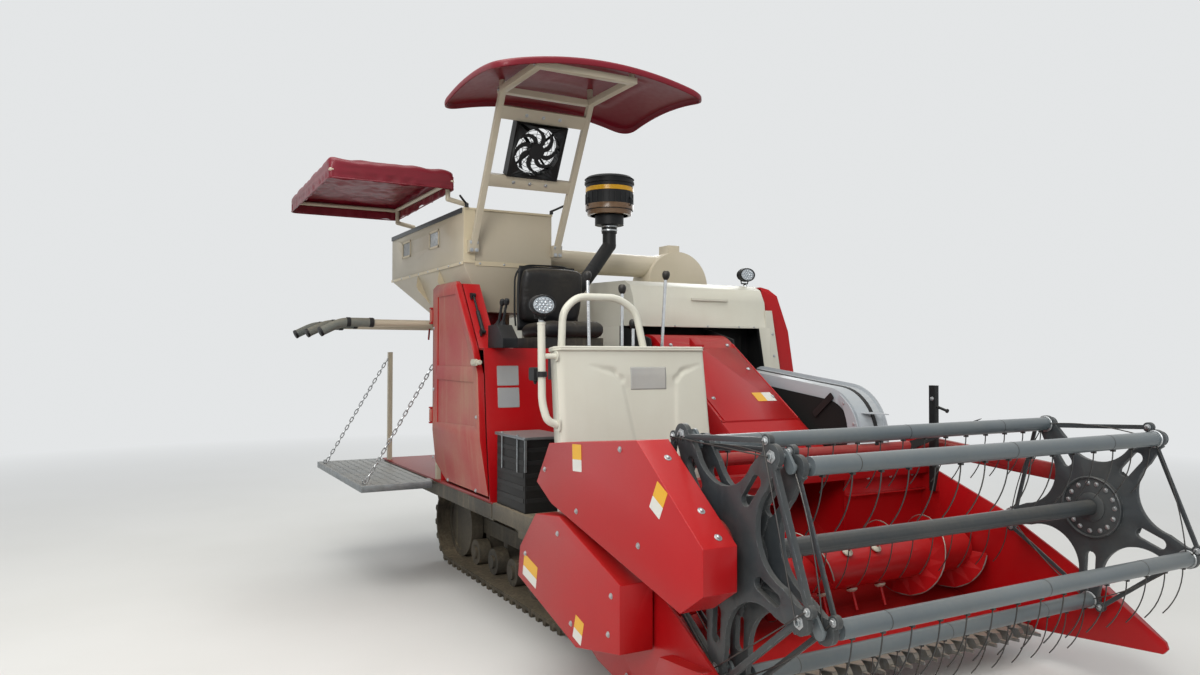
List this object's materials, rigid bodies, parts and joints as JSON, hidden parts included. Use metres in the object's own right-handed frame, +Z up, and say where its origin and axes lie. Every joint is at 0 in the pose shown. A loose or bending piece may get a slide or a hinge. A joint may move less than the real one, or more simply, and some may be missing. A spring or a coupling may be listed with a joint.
{
  "type": "rice combine harvester",
  "caption": "Tracked rice combine harvester with a tined reel over a wide header, grain tank, canopy and folding bagging platform.",
  "frame": {"origin": "on the ground under the middle of the machine's outline", "axes": "+X forwards towards the reel, +Y to the machine's left, +Z up"},
  "size_m": [4.7009, 2.92, 2.91],
  "materials": {
    "red_paint": "satin, dusty",
    "dark_red_paint": "satin, dusty",
    "cream_paint": "satin",
    "dark_steel": "satin, worn",
    "cast_iron": "rough",
    "track_rubber": "matte, muddy",
    "black_plastic": "matte",
    "seat_vinyl": "soft sheen",
    "tarpaulin": "matte",
    "canopy_plastic": "glossy",
    "bare_steel": "dull",
    "chrome": "polished",
    "grey_paint": "satin"
  },
  "bodies": {
    "chassis": {"chassis_frame": "dark_steel", "track_right": "track_rubber", "track_left": "track_rubber", "undercarriage_right": "dark_steel", "undercarriage_left": "dark_steel", "gearbox": "cast_iron", "engine_block": "cast_iron", "engine_housing": "dark_red_paint", "operator_floor": "dark_steel", "battery_box": "black_plastic", "front_panel": "cream_paint", "handrails": "cream_paint", "work_lamps": "black_plastic", "seat_base": "dark_steel", "seat_cushion": "seat_vinyl", "control_levers": "black_plastic", "side_console": "black_plastic", "thresher_body": "cream_paint", "thresher_hood": "cream_paint", "left_covers": "red_paint", "rear_hood": "cream_paint", "grain_elevator": "cream_paint", "air_precleaner": "black_plastic", "grain_tank": "cream_paint", "tank_outlets": "dark_red_paint", "bag_rails": "cream_paint", "awning_frame": "cream_paint", "awning_canvas": "tarpaulin", "canopy_frame": "cream_paint", "canopy_shell": "canopy_plastic", "fan_shroud": "black_plastic", "platform_chains": "bare_steel"},
    "engine_door": {"engine_door": "red_paint"},
    "bag_platform": {"bag_platform": "bare_steel", "platform_eyes": "bare_steel"},
    "fan_rotor": {"fan_rotor": "black_plastic"},
    "lift_barrel": {"lift_barrel": "dark_steel"},
    "lift_rod": {"lift_rod": "chrome"},
    "header": {"feeder_house": "red_paint", "header_trough": "red_paint", "header_end_right": "red_paint", "header_end_left": "red_paint", "knife_drive_cover": "red_paint", "drive_guard": "grey_paint", "cutter_bar": "bare_steel"},
    "knife": {"knife": "bare_steel"},
    "auger": {"auger": "red_paint"},
    "reel_arms": {"reel_arms": "dark_red_paint", "reel_drive_cover": "red_paint"},
    "reel": {"reel_spiders": "dark_steel"},
    "tine_control_ring": {"tine_control_ring": "dark_steel"},
    "tine_tube_1": {"tine_tube_1": "bare_steel"},
    "tine_tube_2": {"tine_tube_2": "bare_steel"},
    "tine_tube_3": {"tine_tube_3": "bare_steel"},
    "tine_tube_4": {"tine_tube_4": "bare_steel"},
    "tine_tube_5": {"tine_tube_5": "bare_steel"}
  },
  "joints": [
    {"name": "engine_door_hinge", "type": "hinge", "parent": "chassis", "child": "engine_door", "pos_m": [-0.83245, -0.782, 1.34], "axis": [0, 0, -1], "range_deg": [0, 90]},
    {"name": "platform_fold", "type": "hinge", "parent": "chassis", "child": "bag_platform", "pos_m": [-1.49045, -0.752, 0.638], "axis": [-1, 0, 0], "range_deg": [0, 80], "deforming": ["platform_chains"]},
    {"name": "fan_spin", "type": "hinge", "parent": "chassis", "child": "fan_rotor", "pos_m": [-0.23955, -0.38, 2.5465], "axis": [0.8767, 0, -0.4811], "continuous": true},
    {"name": "header_lift", "type": "hinge", "parent": "chassis", "child": "header", "pos_m": [-0.13045, 0.55, 1.344], "axis": [0, -1, 0], "range_deg": [-2, 20]},
    {"name": "barrel_swing", "type": "hinge", "parent": "chassis", "child": "lift_barrel", "pos_m": [0.11955, 0.58, 0.38], "axis": [0, -1, 0], "range_deg": [-3, 20]},
    {"name": "rod_slide", "type": "slide", "parent": "lift_barrel", "child": "lift_rod", "axis": [0.9785, 0, 0.206], "range_m": [-0.036, 0.348]},
    {"name": "knife_stroke", "type": "slide", "parent": "header", "child": "knife", "axis": [0, 1, 0], "range_m": [-0.038, 0.038]},
    {"name": "auger_spin", "type": "hinge", "parent": "header", "child": "auger", "pos_m": [1.16955, 0.31, 0.43], "axis": [0, 1, 0], "continuous": true},
    {"name": "reel_lift", "type": "hinge", "parent": "header", "child": "reel_arms", "pos_m": [0.96955, 0.31, 0.93], "axis": [0, -1, 0], "range_deg": [0, 20]},
    {"name": "reel_spin", "type": "hinge", "parent": "reel_arms", "child": "reel", "pos_m": [1.91955, 0.31, 0.76], "axis": [0, 1, 0], "continuous": true},
    {"name": "ring_spin", "type": "hinge", "parent": "reel_arms", "child": "tine_control_ring", "pos_m": [1.89755, -0.69, 0.794], "axis": [0, 1, 0], "continuous": true},
    {"name": "tine_tube_1_turn", "type": "hinge", "parent": "reel", "child": "tine_tube_1", "pos_m": [1.70183, 0.31, 1.09913], "axis": [0, 1, 0], "continuous": true},
    {"name": "tine_tube_2_turn", "type": "hinge", "parent": "reel", "child": "tine_tube_2", "pos_m": [2.1748, 0.31, 1.07186], "axis": [0, 1, 0], "continuous": true},
    {"name": "tine_tube_3_turn", "type": "hinge", "parent": "reel", "child": "tine_tube_3", "pos_m": [2.29502, 0.31, 0.61361], "axis": [0, 1, 0], "continuous": true},
    {"name": "tine_tube_4_turn", "type": "hinge", "parent": "reel", "child": "tine_tube_4", "pos_m": [1.89635, 0.31, 0.35767], "axis": [0, 1, 0], "continuous": true},
    {"name": "tine_tube_5_turn", "type": "hinge", "parent": "reel", "child": "tine_tube_5", "pos_m": [1.52974, 0.31, 0.65774], "axis": [0, 1, 0], "continuous": true}
  ],
  "couplings": [
    {"joint": "barrel_swing", "follows": "header_lift", "ratio": 0.88},
    {"joint": "rod_slide", "follows": "header_lift", "m_per_rad": 0.985},
    {"joint": "ring_spin", "follows": "reel_spin", "ratio": 1},
    {"joint": "tine_tube_1_turn", "follows": "reel_spin", "ratio": -1},
    {"joint": "tine_tube_2_turn", "follows": "reel_spin", "ratio": -1},
    {"joint": "tine_tube_3_turn", "follows": "reel_spin", "ratio": -1},
    {"joint": "tine_tube_4_turn", "follows": "reel_spin", "ratio": -1},
    {"joint": "tine_tube_5_turn", "follows": "reel_spin", "ratio": -1}
  ]
}
